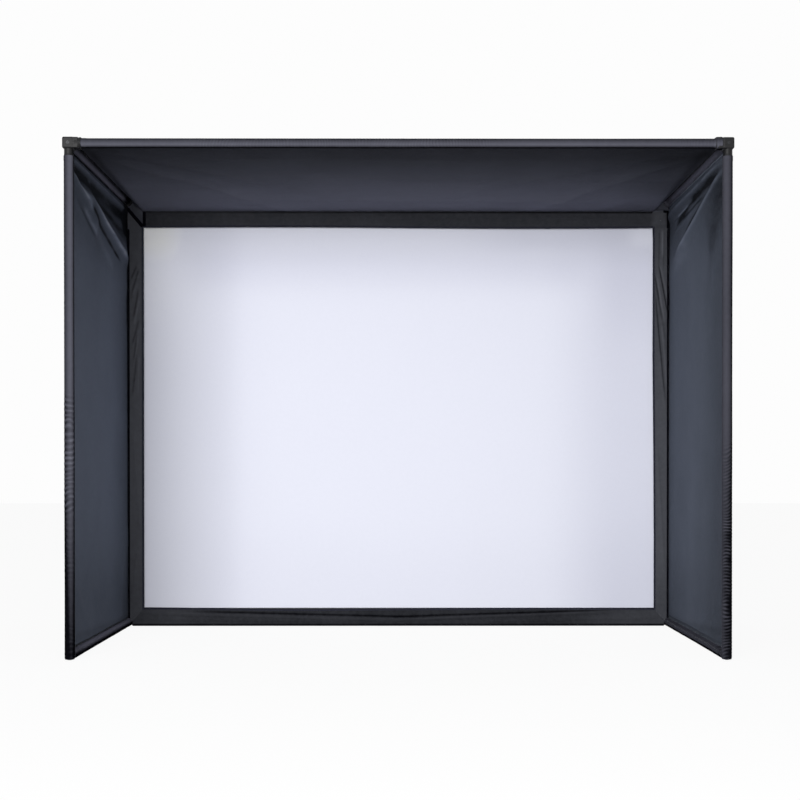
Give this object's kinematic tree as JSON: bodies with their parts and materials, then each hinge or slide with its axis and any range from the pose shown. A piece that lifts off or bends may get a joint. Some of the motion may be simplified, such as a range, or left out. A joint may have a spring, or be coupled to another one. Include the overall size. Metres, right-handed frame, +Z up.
{
  "type": "golf practice net",
  "caption": "Free-standing golf practice bay: sleeved tube frame with cloth sides and roof, open front, and a laced white impact screen.",
  "frame": {"origin": "on the floor, under the middle of the frame", "axes": "+Z up; -Y towards the player, out of the open front; +Y towards the screen; X across the bay"},
  "size_m": [3.208, 1.536, 2.5],
  "materials": {
    "steel_tube": "black powder coat, satin",
    "spring_steel": "bright spring steel",
    "moulding": "dark grey moulded plastic, fine grain",
    "sleeve_fabric": "woven polyester with a slight sheen, gathered",
    "panel_fabric": "coated woven polyester, dark blue grey",
    "roof_fabric": "coated woven polyester, dark grey",
    "border_fabric": "matt woven polyester, near black",
    "screen_fabric": "smooth close-knit white polyester",
    "webbing": "black woven webbing with metal eyelets",
    "elastic_cord": "black braided shock cord"
  },
  "bodies": {
    "frame": {"front_header_left": "steel_tube", "front_header_right": "steel_tube", "rear_header_left": "steel_tube", "rear_header_right": "steel_tube", "rear_bottom_rail_left": "steel_tube", "rear_bottom_rail_right": "steel_tube", "left_front_post_lower": "steel_tube", "left_front_post_upper": "steel_tube", "left_front_top_corner": "moulding", "left_front_bottom_corner": "moulding", "left_front_post_sleeve": "sleeve_fabric", "left_rear_post_lower": "steel_tube", "left_rear_post_upper": "steel_tube", "left_rear_top_corner": "moulding", "left_rear_bottom_corner": "moulding", "left_rear_post_sleeve": "sleeve_fabric", "left_top_rail": "steel_tube", "left_bottom_rail": "steel_tube", "left_top_rail_sleeve": "sleeve_fabric", "left_bottom_rail_sleeve": "sleeve_fabric", "left_side_panel": "panel_fabric", "right_front_post_lower": "steel_tube", "right_front_post_upper": "steel_tube", "right_front_top_corner": "moulding", "right_front_bottom_corner": "moulding", "right_front_post_sleeve": "sleeve_fabric", "right_rear_post_lower": "steel_tube", "right_rear_post_upper": "steel_tube", "right_rear_top_corner": "moulding", "right_rear_bottom_corner": "moulding", "right_rear_post_sleeve": "sleeve_fabric", "right_top_rail": "steel_tube", "right_bottom_rail": "steel_tube", "right_top_rail_sleeve": "sleeve_fabric", "right_bottom_rail_sleeve": "sleeve_fabric", "right_side_panel": "panel_fabric", "front_header_sleeve": "sleeve_fabric", "rear_header_sleeve": "sleeve_fabric", "rear_bottom_sleeve": "sleeve_fabric", "roof_panel": "roof_fabric", "left_border_flap": "border_fabric", "left_shock_cord": "elastic_cord", "right_border_flap": "border_fabric", "right_shock_cord": "elastic_cord", "top_border_flap": "border_fabric", "top_shock_cord": "elastic_cord", "bottom_border_flap": "border_fabric", "bottom_shock_cord": "elastic_cord"},
    "screen": {"impact_screen": "screen_fabric", "left_screen_hem": "webbing", "right_screen_hem": "webbing", "top_screen_hem": "webbing", "bottom_screen_hem": "webbing"},
    "front_header_latch": {"front_header_button": "spring_steel"},
    "rear_header_latch": {"rear_header_button": "spring_steel"},
    "rear_bottom_rail_latch": {"rear_bottom_rail_button": "spring_steel"},
    "left_front_post_latch": {"left_front_post_button": "spring_steel"},
    "left_rear_post_latch": {"left_rear_post_button": "spring_steel"},
    "right_front_post_latch": {"right_front_post_button": "spring_steel"},
    "right_rear_post_latch": {"right_rear_post_button": "spring_steel"}
  },
  "joints": [
    {"name": "screen_give", "type": "slide", "parent": "frame", "child": "screen", "axis": [0, 1, 0], "range_m": [0, 0.06], "stiffness_N_per_m": 900, "deforming": ["left_shock_cord", "right_shock_cord", "top_shock_cord", "bottom_shock_cord"]},
    {"name": "front_header_press", "type": "slide", "parent": "frame", "child": "front_header_latch", "axis": [0, 0, -1], "range_m": [0, 0.0044], "stiffness_N_per_m": 1500, "springref_m": -0.003},
    {"name": "rear_header_press", "type": "slide", "parent": "frame", "child": "rear_header_latch", "axis": [0, 0, -1], "range_m": [0, 0.0044], "stiffness_N_per_m": 1500, "springref_m": -0.003},
    {"name": "rear_bottom_rail_press", "type": "slide", "parent": "frame", "child": "rear_bottom_rail_latch", "axis": [0, -1, 0], "range_m": [0, 0.0044], "stiffness_N_per_m": 1500, "springref_m": -0.003},
    {"name": "left_front_post_press", "type": "slide", "parent": "frame", "child": "left_front_post_latch", "axis": [1, 0, 0], "range_m": [0, 0.0044], "stiffness_N_per_m": 1500, "springref_m": -0.003},
    {"name": "left_rear_post_press", "type": "slide", "parent": "frame", "child": "left_rear_post_latch", "axis": [1, 0, 0], "range_m": [0, 0.0044], "stiffness_N_per_m": 1500, "springref_m": -0.003},
    {"name": "right_front_post_press", "type": "slide", "parent": "frame", "child": "right_front_post_latch", "axis": [-1, 0, 0], "range_m": [0, 0.0044], "stiffness_N_per_m": 1500, "springref_m": -0.003},
    {"name": "right_rear_post_press", "type": "slide", "parent": "frame", "child": "right_rear_post_latch", "axis": [-1, 0, 0], "range_m": [0, 0.0044], "stiffness_N_per_m": 1500, "springref_m": -0.003}
  ]
}
